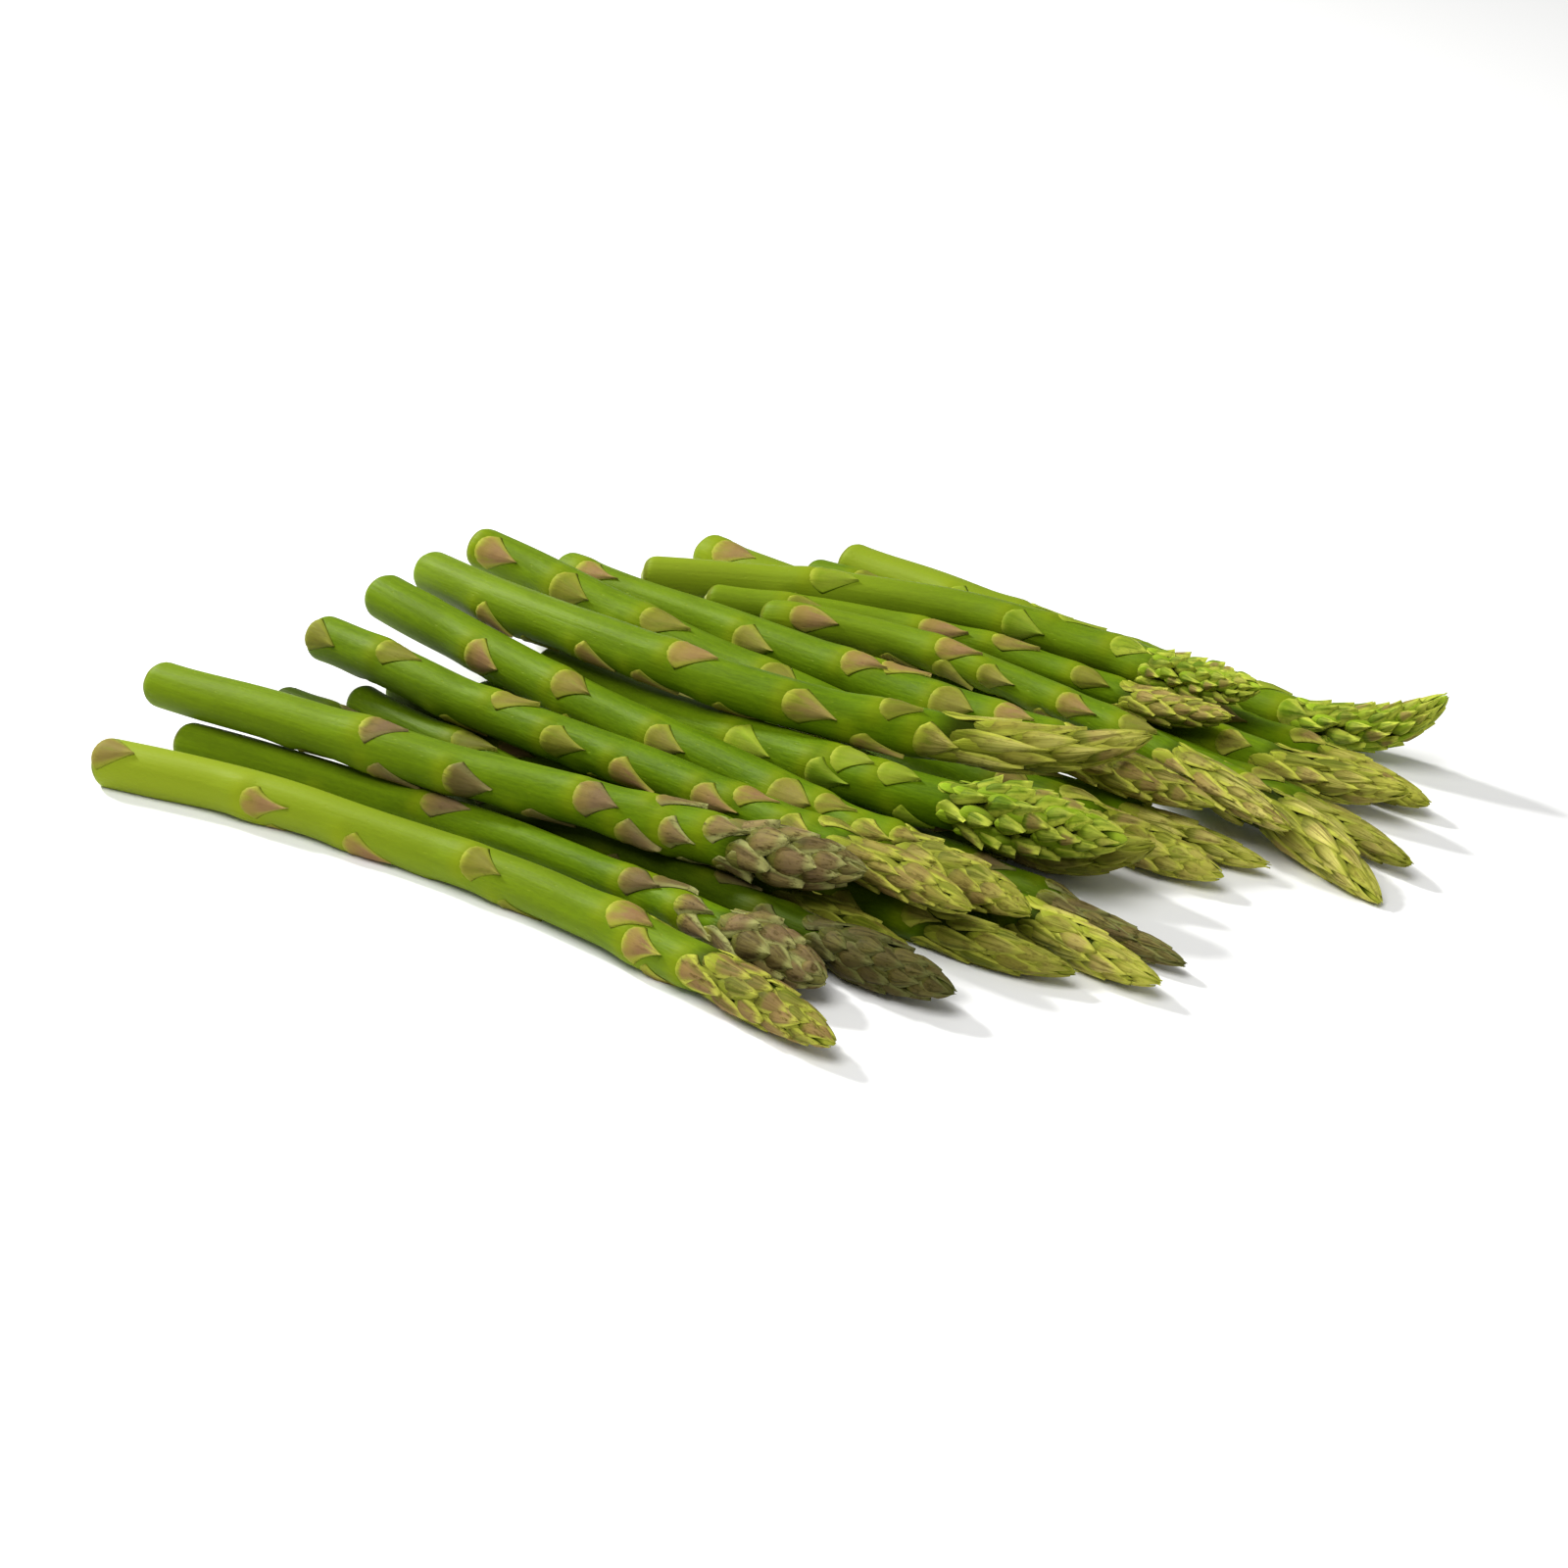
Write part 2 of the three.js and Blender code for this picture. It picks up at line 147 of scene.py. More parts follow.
world = bpy.data.worlds.new("white sky")
bpy.context.scene.world = world
world.use_nodes = True
sky = world.node_tree.nodes["Background"]
sky.inputs["Color"].default_value = SKY_WHITE
sky.inputs["Strength"].default_value = SKY_STRENGTH
bpy.context.scene.view_settings.view_transform = "Standard"
print("lit by", " and ".join(LAMPS), "under a", world.name)

# %% [markdown]
# ## The spears
# One row a spear. `thick` is the stem's diameter, `head` the length of its head, `plump` how much
# wider than the stem the head swells, and `turn` the bearing of its lowest scale leaf, in degrees
# round the stem, where 90 is up. The imported solids were grown from the same sizes, so the fine spears
# fill them. `style` names the way the head is packed. From 0 to 1, `pale` says how light the stem
# is, and below 0.2 it also paints shade over the whole spear, for those that lie deep in the heap.
# `mauve` says how purple-brown the scale leaves have dried, and `cream` how light their points are.

# %% List the spears
TRAITS = ("thick", "head", "plump", "turn", "style", "pale", "mauve", "cream")
ROWS = (
    (10.4, 44, 1.15, 60, "tight", 1.0, 1.0, 0.2),
    (9.0, 34, 1.7, 205, "knobbly", 0.28, 1.0, 0.1),
    (10.7, 36, 1.4, 20, "knobbly", 0.35, 1.0, 0.2),
    (9.0, 40, 1.5, 150, "tight", 0.0, 1.0, 0.4),
    (9.0, 38, 1.1, 310, "long", 0.1, 0.4, 0.0),
    (10.0, 40, 1.1, 95, "long", 0.17, 0.65, 0.2),
    (9.0, 40, 1.1, 255, "long", 0.1, 0.5, 0.3),
    (10.6, 40, 1.2, 0, "tight", 0.18, 0.65, 0.3),
    (9.4, 40, 1.1, 175, "long", 0.2, 0.4, 0.6),
    (8.4, 40, 1.0, 330, "long", 0.08, 1.0, 0.4),
    (11.0, 44, 1.6, 115, "open", 0.2, 0.3, 0.25),
    (9.6, 42, 1.35, 270, "long", 0.1, 0.3, 0.3),
    (10.8, 50, 1.15, 40, "long", 0.3, 0.15, 0.8),
    (10.4, 38, 1.1, 190, "tight", 0.22, 0.45, 0.4),
    (10.4, 44, 1.05, 345, "tight", 0.25, 0.8, 0.45),
    (8.6, 38, 1.0, 130, "long", 0.2, 0.4, 0.8),
    (10.0, 48, 1.25, 285, "long", 0.2, 0.4, 1.0),
    (7.9, 42, 1.25, 75, "long", 0.35, 0.9, 0.8),
    (8.6, 40, 1.0, 220, "long", 0.1, 0.1, 0.6),
    (7.2, 36, 1.2, 10, "tight", 0.4, 0.8, 0.3),
    (9.6, 36, 1.25, 160, "open", 0.75, 0.4, 0.25),
    (10.0, 42, 1.1, 300, "long", 0.6, 0.5, 0.4),
    (8.6, 36, 1.1, 85, "long", 0.15, 0.2, 0.4),
    (10.0, 46, 1.25, 240, "open", 0.8, 0.0, 0.3),
)
SPEARS = {f"spear_{n:02d}": dict(zip(TRAITS, row)) for n, row in enumerate(ROWS, 1)}
print(len(SPEARS), "spears, for", len(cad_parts), "packed solids")

# %% [markdown]
# ## The centre line of a spear
# Every spear bends a little where it lies on its neighbours. The bend is measured, not guessed: the
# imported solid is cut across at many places, and the middle of each cut lies on the centre line. A
# smooth curve through those middles takes out the steps of the coarse solid.

# %% Measure a centre line
FIRST_CUT, STATION_STEP = 0.1, 1.5  # from the end to the first cut, and between two cuts
SMOOTHNESS = 7  # the degree of the curve through the middles
LINE_POINTS = 241  # points kept of that curve
BUTT_REACH = 4.0  # the points this near to the cut end show where its middle is
FIRST_CUTS = 6  # the cuts among which the sloping cut face is passed
LOPSIDED = (3.0, 1.5)  # cuts nearer than this to the cut end or to the tip are left out


def triangles_of(node):
    """The corners of a solid's triangles in millimetres, as an array of (triangle, corner, axis)."""
    mesh = node.data
    mesh.calc_loop_triangles()
    points = np.array([v.co for v in mesh.vertices]) / MM
    return points[np.array([t.vertices for t in mesh.loop_triangles])]


def cut_across(corners, axis, station):
    """The area and the middle of the cut through a solid where its height along axis is station."""
    height = corners @ axis - station
    crossed = corners[(height.min(1) < 0) & (height.max(1) > 0)]
    if not len(crossed):
        return 0.0, np.zeros(3)
    height = crossed @ axis - station
    ends = []
    for a, b in ((0, 1), (1, 2), (2, 0)):
        share = height[:, a] / np.where(height[:, a] == height[:, b], 1.0, height[:, a] - height[:, b])
        point = crossed[:, a] + share[:, None] * (crossed[:, b] - crossed[:, a])
        ends.append((height[:, a] * height[:, b] < 0, point))
    # Each crossed triangle gives a piece of the outline, and all pieces have to run the same way round.
    first = np.where(ends[0][0][:, None], ends[0][1], ends[1][1])
    last = np.where(ends[2][0][:, None], ends[2][1], ends[1][1])
    outwards = np.cross(crossed[:, 1] - crossed[:, 0], crossed[:, 2] - crossed[:, 0])
    backwards = (np.cross(last - first, axis) * outwards).sum(1) < 0
    first[backwards], last[backwards] = last[backwards], first[backwards].copy()
    centre = first.mean(0)
    areas = 0.5 * np.cross(first - centre, last - centre) @ axis
    total = areas.sum()
    middle = centre + ((first + last - 2 * centre) * areas[:, None]).sum(0) / (3 * total)
    return total, middle


class CentreLine:
    """The smooth line through the middle of a spear, from its cut end to its tip."""

    def __init__(self, node):
        corners = triangles_of(node)
        points = corners.reshape(-1, 3)
        butt = points[points[:, 0] < points[:, 0].min() + BUTT_REACH].mean(0)
        tip = points[points[:, 0].argmax()]
        axis = (tip - butt) / np.linalg.norm(tip - butt)
        top = (points @ axis).max()
        stations = np.arange((points @ axis).min() + FIRST_CUT, top, STATION_STEP)
        cuts = [cut_across(corners, axis, s) for s in stations]
        areas, middles = (np.array(values) for values in zip(*cuts))
        # The sloping cut face is half way through where half of the stem's area is reached.
        start = np.interp(0.5 * np.median(areas), areas[:FIRST_CUTS], stations[:FIRST_CUTS])
        inner = (stations > start + LOPSIDED[0]) & (stations < top - LOPSIDED[1])
        fit = np.polynomial.Polynomial.fit
        curves = [fit(stations[inner], middles[inner, i], SMOOTHNESS) for i in range(3)]
        fine = np.linspace(start, top, LINE_POINTS)
        self.points = np.stack([curve(fine) for curve in curves], 1)
        steps = np.linalg.norm(np.diff(self.points, axis=0), axis=1)
        self.distances = np.concatenate([[0.0], steps.cumsum()])
        self.length = self.distances[-1]
        self.forward = np.gradient(self.points, self.distances, axis=0)

    def place(self, distance, bearing, radius):
        """Points at distances from the cut end, bearings in degrees (90 is up) and radii."""
        distance, bearing, radius = np.broadcast_arrays(distance, bearing, radius)
        at = np.clip(distance, 0, self.length)
        centre = np.stack([np.interp(at, self.distances, self.points[:, i]) for i in range(3)], -1)
        forward = np.stack([np.interp(at, self.distances, self.forward[:, i]) for i in range(3)], -1)
        forward /= np.linalg.norm(forward, axis=-1, keepdims=True)
        side = np.cross(forward, [0.0, 0.0, 1.0])
        side /= np.linalg.norm(side, axis=-1, keepdims=True)
        up = np.cross(side, forward)
        angle = np.radians(bearing)[..., None]
        beyond = (distance - at)[..., None] * forward
        return centre + beyond + radius[..., None] * (side * np.cos(angle) + up * np.sin(angle))


lines = {name: CentreLine(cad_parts[name]) for name in SPEARS}
print("lengths in mm:", {name: round(float(line.length), 1) for name, line in lines.items()})

# %% [markdown]
# ## How thick a spear is along its length
# A stem tapers slightly upwards. Where the head starts it swells, keeps nearly that width for half
# of the head, and closes in a blunt point. The scale leaves are the outer part of the head, so the
# core that they grow from is slimmer, and slimmest where the leaves stand open. The knife leaves a
# flat end, and a day in the shop rounds its rim.

# %% Write the profile as a formula
CORE_SHARES = {"tight": 0.72, "long": 0.72, "knobbly": 0.7, "open": 0.62}  # of the outer radius
CORE_FROM = 0.3  # the core is that slim from here on, as a share of the head
RIM_LENGTH, RIM_DEPTH = 3.0, 2.5  # how far the rim of the cut end is rounded, along and inwards
TAPER = 0.1  # how much of its width a stem loses from its cut end to the head
NECK = 0.475  # the radius where the head starts, as a share of the stem's diameter
SWOLLEN, CLOSING = 0.4, 0.3  # where the head is fully swollen and where it starts to close
BLUNTNESS = 0.65  # the power in the closing: a lower one gives a blunter tip
LEAST_RADIUS = 0.6


def smooth(x):
    """A soft step: 0 below 0, 1 above 1, level at both ends."""
    x = np.clip(x, 0.0, 1.0)
    return x * x * (3 - 2 * x)


def outer_radius(row, length, distance):
    """The radius of a spear, scale leaves included, at distances from its cut end."""
    foot = length - row["head"]
    stem = row["thick"] / 2 * (1 + TAPER / 2 - TAPER * distance / foot)
    rim = RIM_DEPTH * (1 - np.sqrt(1 - np.clip(1 - distance / RIM_LENGTH, 0, 1) ** 2))
    x = np.clip((distance - foot) / row["head"], 0.0, 1.0)
    swell = 1 + (row["plump"] - 1) * np.sin(np.pi / 2 * np.minimum(1, x / SWOLLEN)) ** 2
    close = (1 - np.maximum(0, (x - CLOSING) / (1 - CLOSING)) ** 2) ** BLUNTNESS
    return np.where(x > 0, np.maximum(LEAST_RADIUS, NECK * row["thick"] * swell * close), stem - rim)


def core_radius(row, length, distance):
    """The radius of the body that the scale leaves grow from."""
    x = (distance - (length - row["head"])) / row["head"]
    share = 1 - (1 - CORE_SHARES[row["style"]]) * smooth(x / CORE_FROM)
    return outer_radius(row, length, distance) * share


print("a core takes up", CORE_SHARES, "of its head's width")


# %% [markdown]
# ## Where the scale leaves sit
# Up the stem each leaf is turned by the golden angle from the one below. They sit far apart near the
# cut end and close up under the head. The front of the heap is what people see, so the leaves there
# are listed, as pairs of a distance from the cut end and a bearing, and the rule fills the far side
# and the hidden spears. A leaf that starts before 0 was cut through by the knife.

# %% Place the leaves below the head
GOLDEN_TURN = 137.5  # degrees round the stem from one leaf to the next
STEM_LEAVES = 7
SHOULDER = (27, 18, 11, 5, 0)  # where the leaves just under the head start, before its foot
SHOULDER_ROOM = 8.0  # kept free below the first of those
LEAF_LENGTH = 13.0
SHORTER, SHORTER_OVER = 3.0, 35.0  # how much the last leaves below the head lose, and over what stretch
APART_ALONG, APART_ROUND = 11.0, 68.0  # leaves that near along the stem are that far apart round it
FAR_SIDE = 210.0  # the bearing where the far side starts, and it covers a third of a turn

PLACED = {
    "spear_01": ((-3, 55), (41, 14), (103, 48), (144, 85), (152, 21), (168, 22), (176, 95)),
    "spear_02": ((70, 72), (130, 58), (136, 115), (147, 62), (149, 8)),
    "spear_03": ((61, 88), (86, 355), (120, 48), (131, 330), (138, 112), (143, 18), (153, 60)),
    "spear_06": ((-3, 35), (22, 80), (59, 95), (78, 18), (99, 355), (124, 15), (134, 80), (149, 25)),
    "spear_08": ((38, 9), (67, 66), (100, 28), (139, 36), (151, 70), (163, 40), (172, 80)),
    "spear_11": ((67, 24), (91, 8), (108, 75), (113, 305)),
    "spear_13": ((29, 325), (82, 305), (92, 80), (124, 28), (140, 322), (145, 85), (154, 8)),
    "spear_14": ((3, 32), (29, 30), (57, 72), (95, 60), (130, 80), (165, 60), (180, 110)),
    "spear_15": ((8, 55), (62, 15), (94, 72), (103, 118), (121, 45), (138, 80)),
    "spear_18": ((8, 42), (48, 65), (62, 18), (86, 40), (104, 85)),
    "spear_20": ((20, 48), (54, 55), (73, 85), (97, 50)),
    "spear_21": ((42, 70), (94, 24), (123, 76)),
    "spear_22": ((6, 70), (60, 90), (120, 70), (150, 100), (168, 50)),
}


def turned(bearing, other):
    """How far a bearing lies round the stem from another one, from -180 to 180 degrees."""
    return (bearing - other + 180) % 360 - 180


def leaf_places(name, row, length):
    """Base distance, bearing and length of every scale leaf below the head."""
    foot = length - row["head"]
    bases = [foot * ((n + 0.4) / (STEM_LEAVES + 0.2)) ** 0.8 for n in range(STEM_LEAVES)]
    bases = [base for base in bases if base < foot - SHOULDER[0] - SHOULDER_ROOM]
    places = list(PLACED.get(name, ()))
    for n, base in enumerate(bases + [foot - before for before in SHOULDER]):
        turn = (row["turn"] + GOLDEN_TURN * n) % 360
        if name in PLACED and n < len(bases):
            turn = FAR_SIDE + turn / 3  # the front is taken
        beside = [abs(turned(turn, other)) for at, other in places if abs(base - at) < APART_ALONG]
        if min(beside, default=180) > APART_ROUND:
            places.append((base, turn))
    short = {base: SHORTER * smooth((base - foot + SHORTER_OVER) / SHORTER_OVER) for base, _ in places}
    return [(base, turn, LEAF_LENGTH - short[base]) for base, turn in sorted(places)]


leaves_below = {name: leaf_places(name, row, lines[name].length) for name, row in SPEARS.items()}
print("scale leaves below the heads:", {name: len(leaves) for name, leaves in leaves_below.items()})

# %% [markdown]
# ## A mesh that remembers what it is
# The finish has to know, at each point, whether it paints stem, scale leaf or bud, how far up the
# leaf it is, and where on the straightened stem it lies. Texture coordinates could hold two of
# these numbers, but named attributes hold them all and read plainly in the materials. So points
# are added as sheets, rows by columns, together with their attributes.

# %% Gather sheets of points into one mesh
# What each point knows of its own place, and of its spear as a whole, with the amount of shade that is
# painted on it.
SHARES = ("leaf", "bud", "up_leaf", "across", "chance", "along", "cut", "collar", "deep")
OWN_SHARES = ("pale", "mauve", "cream")
SWELLING = 0.7  # how far the stem swells under a leaf
SWELLING_REACH = (6.0, 2.5)  # how far that reaches, before the leaf's foot and after it
SWELLING_TURN = 64.0  # and round the stem, in degrees
# Slow waves in the skin: height as a share of the radius, lobes round the stem, millimetres along it.
WAVES = ((0.020, 2, 31), (0.010, 3, -43), (0.022, 0, 17), (0.012, 0, 6.3), (0.005, 7, 11), (0.055, 1, 13))
LEAST_ROOM = 0.25  # keeps the depth in a head defined where its leaves end


class Growth:
    """One spear's mesh while it grows: its points, faces and attributes."""

    def __init__(self, row, line, leaves, chance):
        self.row, self.line, self.leaves, self.chance = row, line, leaves, chance
        self.phases = chance.uniform(0, 2 * np.pi, len(WAVES))
        self.points, self.straight, self.faces = [], [], []
        self.shares = {name: [] for name in SHARES + OWN_SHARES}
        self.count = 0

    def skin(self, distance, bearing):
        """The radius of the skin that leaves stand on: the profile, its slow waves and its swellings."""
        angle = np.radians(bearing)
        waves = 0
        for (height, lobes, reach), phase in zip(WAVES, self.phases):
            waves = waves + height * np.sin(lobes * angle + phase + distance / reach)
        radius = core_radius(self.row, self.line.length, np.maximum(distance, 0)) * (1 + waves)
        for base, turn, _ in self.leaves:
            beside = turned(bearing, turn) / SWELLING_TURN
            along = (distance - base) / np.where(distance < base, *SWELLING_REACH)
            radius = radius + SWELLING * np.exp(-(beside**4) - along**2)
        return radius

    def room(self, distance):
        """How deep the scale leaves lie on the body, which is 0 on the stem."""
        place = (self.row, self.line.length, distance)
        return outer_radius(*place) - core_radius(*place)

    def depth(self, distance, radius):
        """From 0 at the outside of a head to 1 down at its core."""
        outer = outer_radius(self.row, self.line.length, distance)
        return np.clip((outer - radius) / (self.room(distance) + LEAST_ROOM), 0, 1)

    def add_tube(self, distance, bearing, radius, **shares):
        """A tube of rings, each a row of the arrays, with a flat face over each of its two ends."""
        points = self.line.place(distance, bearing, radius)
        points[..., 2] = np.maximum(points[..., 2], 0.0)  # it lies flat where it rests on the table
        rings, columns = points.shape[:2]
        distance, bearing, radius = np.broadcast_arrays(distance, bearing, radius)
        angle = np.radians(bearing)
        straight = np.stack([distance, radius * np.cos(angle), radius * np.sin(angle)], -1)
        self.points.append(points.reshape(-1, 3))
        self.straight.append(straight.reshape(-1, 3))
        shares.setdefault("along", np.clip(distance / self.line.length, 0, 1))
        shares.update({name: self.row[name] for name in OWN_SHARES})
        for name in SHARES + OWN_SHARES:
            value = np.broadcast_to(shares.get(name, 0.0), (rings, columns))
            self.shares[name].append(value.reshape(-1))
        index = self.count + np.arange(rings * columns).reshape(rings, columns)
        right = np.roll(index, -1, axis=1)
        quads = np.stack([index[:-1], right[:-1], right[1:], index[1:]], -1).reshape(-1, 4)
        self.faces.extend(quads[:, ::-1].tolist())
        self.faces += [index[0].tolist(), index[-1][::-1].tolist()]
        self.count += rings * columns

    def to_object(self, name):
        """The finished mesh as an object, in metres, shaded smooth."""
        mesh = bpy.data.meshes.new(name)
        mesh.from_pydata((np.concatenate(self.points) * MM).tolist(), [], self.faces)
        for share, values in self.shares.items():
            attribute = mesh.attributes.new(share, "FLOAT", "POINT")
            attribute.data.foreach_set("value", np.concatenate(values).astype(np.float32))
        attribute = mesh.attributes.new("straight", "FLOAT_VECTOR", "POINT")
        attribute.data.foreach_set("vector", np.concatenate(self.straight).astype(np.float32).ravel())
        mesh.shade_smooth()
        piece = bpy.data.objects.new(name, mesh)
        bpy.context.scene.collection.objects.link(piece)
        return piece


# %% [markdown]
# ## The stem
# A stem is never a plain cylinder. It wavers by a fraction of a millimetre, it is faintly oval and
# three-sided, and it swells under each scale leaf. `skin` knows all of that, so the stem is one tube
# of rings that ask it for their radius, and the cut end is a low dome inside the rim. Where the tube
# runs through the head it is the core, and shade is painted on it there, so that it shows dark
# between the leaves.

# %% Grow a stem
COLUMNS = 36  # points round the stem
RING_STEP = 1.25
EVEN_UNTIL = 0.8  # how far before the tip the even rings stop
TIP_RINGS = np.array([0.6, 0.1])  # and how far before it the last two lie
DOME = 0.9  # how far the cut face bulges
FACE_RINGS = np.array([0.03, 0.4, 0.75])  # rings on the cut face, as shares of its radius
RIM_RINGS = np.radians([0, 18, 36, 54, 72, 90])  # and round the curve of its rim
PALE_RINGS, BROWNED_RINGS = 5, 7  # the first rings are pale inside, and the next ones have dried
LAST_RING = 0.3  # the size of the ring that closes the tip, as a share
COLLAR_REACH = 2.5  # how far the light collar at the foot of a leaf reaches along the stem
DARKENS, LIGHTENS, LIGHT_TIP = 8.0, 4.0, 1.0  # where the core's shade comes, goes and is gone
TIP_BUD, TIP_BUD_OVER = 5.0, 3.0  # so near the tip it turns into a last bud, over that length


def grow_stem(growth):
    row, length = growth.row, growth.line.length
    rim = RIM_LENGTH * (1 - np.cos(RIM_RINGS))
    rings = np.arange(RIM_LENGTH + RING_STEP, length - EVEN_UNTIL, RING_STEP)
    distance = np.concatenate([DOME * (FACE_RINGS**2 - 1), rim, rings, length - TIP_RINGS])
    share = np.ones(len(distance))
    share[: len(FACE_RINGS)] = FACE_RINGS
    share[-1] = LAST_RING
    distance, bearing = np.meshgrid(distance, np.arange(COLUMNS) * 360 / COLUMNS, indexing="ij")
    radius = growth.skin(distance, bearing) * share[:, None]
    collar = np.zeros_like(distance)
    for base, turn, _ in growth.leaves:
        beside = turned(bearing, turn) / SWELLING_TURN
        collar = np.maximum(collar, np.exp(-(beside**4) - ((distance - base) / COLLAR_REACH) ** 2))
    cut = np.zeros_like(distance)
    cut[:BROWNED_RINGS] = 0.6
    cut[:PALE_RINGS] = 1.0
    # Painted shade: the core darkens inside the head, where it lies between the leaves, and turns light
    # again just before the tip.
    deep = smooth((distance - length + row["head"]) / DARKENS)
    deep = deep * smooth((length - distance - LIGHT_TIP) / LIGHTENS)
    tip = smooth((distance - length + TIP_BUD) / TIP_BUD_OVER)
    growth.add_tube(distance, bearing, radius, cut=cut, collar=collar, deep=deep, bud=tip, up_leaf=tip)


# %% [markdown]
# ## A scale leaf
# A scale leaf is a small pointed blade that clasps the spear. Its foot runs out of the stem's own
# swelling, its middle is thin and papery, and its edges and point lie close. A flat cut-out bent
# over the stem would look like paper, so the blade is a closed, flattened tube: each ring runs
# across the top and back underneath, and the rings follow each other from the foot to the point.

# %% Shape one blade
ACROSS_TOP = np.array([-1, -0.93, -0.75, -0.5, -0.25, 0, 0.25, 0.5, 0.75, 0.93, 1.0])
ACROSS_UNDER = np.array([0.75, 0.3, -0.3, -0.75])
UP_BLADE = np.array([0, 0.04, 0.09, 0.15, 0.23, 0.33, 0.44, 0.56, 0.68, 0.79, 0.88, 0.95, 1.0])
RISE_AT = (0, 0.05, 0.14, 0.4, 0.75, 1)  # where up the blade its rise over the skin is given
FOOT_RISE = -0.35  # the foot starts below the skin
FOOT_THICKER, FOOT_UNTIL = 0.8, 0.3  # how much thicker it is, and up to where on the blade
FILL_AT, FILL_SHARES = (0.04, 0.4, 1), (0, 0.85, 1)  # up the blade, and how much it fills there
CUT_LEAF = 0.5  # where a leaf starts that the knife went through
BOW = 0.22  # how far a blade may lean to one side, as a share of its width
RIPPLE = 0.04
SHADE_OVER = 6.0  # the stretch of the head over which its shade comes
LEAST_BLADE, LEAST_BUD = 0.15, 0.12  # no point comes nearer to the centre line
BUD_RINGS = 9
BUD_COLUMNS = np.radians(np.arange(10) * 36.0)


def blade_outline(up, point):
    """Half the width of a blade, as a share of its greatest, from its foot (0) to its point (1)."""
    ogive = (1 - np.clip(up, 0, 1) ** (2.2 - 1.2 * point)) ** (0.75 + 0.35 * point)
    return (0.75 + 0.25 * smooth(up / 0.16)) * ogive


def add_blade(growth, base, turn, length, clasp, relief, point, fill, hug, thick, sweep):
    """One closed blade. relief is how far it stands off the skin at its lip, middle and point, and
    fill how much of the head's outer part it fills besides. clasp is half its width in degrees, point
    how drawn out it is, hug how closely its edges bend down, and sweep how far its foot curves."""
    chance = growth.chance
    lip, belly, tip = relief
    start = max(0.0, (CUT_LEAF - base) / length)
    across = np.concatenate([ACROSS_TOP, ACROSS_UNDER])
    under = np.concatenate([np.zeros(len(ACROSS_TOP)), np.ones(len(ACROSS_UNDER))])
    up, across = np.meshgrid(start + (1 - start) * UP_BLADE, across, indexing="ij")
    bow = chance.uniform(-BOW, BOW)
    foot_curve = 0.4 * across**2 + 0.6 * across**6
    distance = base + length * (up + sweep * foot_curve * (1 - up) ** 2)
    bearing = turn + clasp * (blade_outline(up, point) * across + bow * up**2)
    rise = np.interp(up, RISE_AT, (FOOT_RISE, 0, lip, belly, 0.5 * (belly + tip), tip))
    rise = rise * (1 - 0.9 * across**2) + RIPPLE * np.sin(5 * across + chance.uniform(0, 6)) * up
    depth = thick * (1 - 0.5 * across**2) * (1 - 0.5 * up)
    depth = depth + FOOT_THICKER * (1 - smooth(up / FOOT_UNTIL))
    filled = fill * growth.room(distance) * np.interp(up, FILL_AT, FILL_SHARES)
    skin = growth.skin(distance, bearing)
    in_head = smooth((distance - growth.line.length + growth.row["head"]) / SHADE_OVER)
    # Painted shade: the deeper a point of the leaf lies in the head, the darker it is painted; on the stem
    # there is none.
    deep = growth.depth(distance, skin + rise + filled - depth * under) ** 0.6 * in_head
    rise = rise + filled * (1 - hug * across**2)
    radius = np.maximum(skin + rise - depth * under, LEAST_BLADE)
    shares = {"deep": deep, "leaf": 1.0, "up_leaf": up, "across": across, "chance": chance.uniform()}
    growth.add_tube(distance, bearing, radius, **shares)


def add_bud(growth, middle, turn, half_length, clasp, off, thick):
    """A pointed, slightly flattened bud that lies on the core."""
    chance = growth.chance
    up, angle = np.meshgrid(np.linspace(0, 1, BUD_RINGS), BUD_COLUMNS, indexing="ij")
    girth = np.sin(np.pi * up**0.75) ** 0.75 + 0.02
    distance = middle + half_length * (2 * up - 1)
    bearing = turn + clasp * girth * np.cos(angle)
    ridges = 1 + 0.15 * np.cos(3 * angle + chance.uniform(0, 6))
    over = off + thick * girth * ridges * np.sin(angle)
    radius = np.maximum(growth.skin(distance, bearing) + over, LEAST_BUD)
    # Painted shade: the bud is darkened by how deep it lies in the head.
    deep = growth.depth(distance, radius)
    shares = {"deep": deep, "bud": 1.0, "up_leaf": up, "across": np.cos(angle), "chance": chance.uniform()}
    growth.add_tube(distance, bearing, radius, **shares)


print(len(UP_BLADE), "rings in a blade")

# %% [markdown]
# ## The leaves on the stem
# They sit far apart and come closer under the head, where each already hides a swelling bud that
# pushes it out. Their points are a little free. No two are alike, so width, point and lip are drawn
# by chance.

# %% Set the stem's leaves
STEM_BLADE = {"fill": 0.0, "hug": 0.0, "thick": 0.3, "sweep": 0.28}
HIDES_BUD, HIDES_OVER = 32.0, 27.0  # so far below the head the buds start to swell, over that length


def grow_stem_leaves(growth):
    chance, foot = growth.chance, growth.line.length - growth.row["head"]
    for base, turn, length in growth.leaves:
        near_head = float(smooth((base - foot + HIDES_BUD) / HIDES_OVER))
        length = length * chance.uniform(0.9, 1.15)
        clasp = chance.uniform(54, 68) - 8 * near_head
        relief = (0.55, 0.8 + 0.5 * near_head, chance.uniform(0.3, 1.3))
        add_blade(growth, base, turn, length, clasp, relief, point=chance.uniform(0.6, 1.25), **STEM_BLADE)


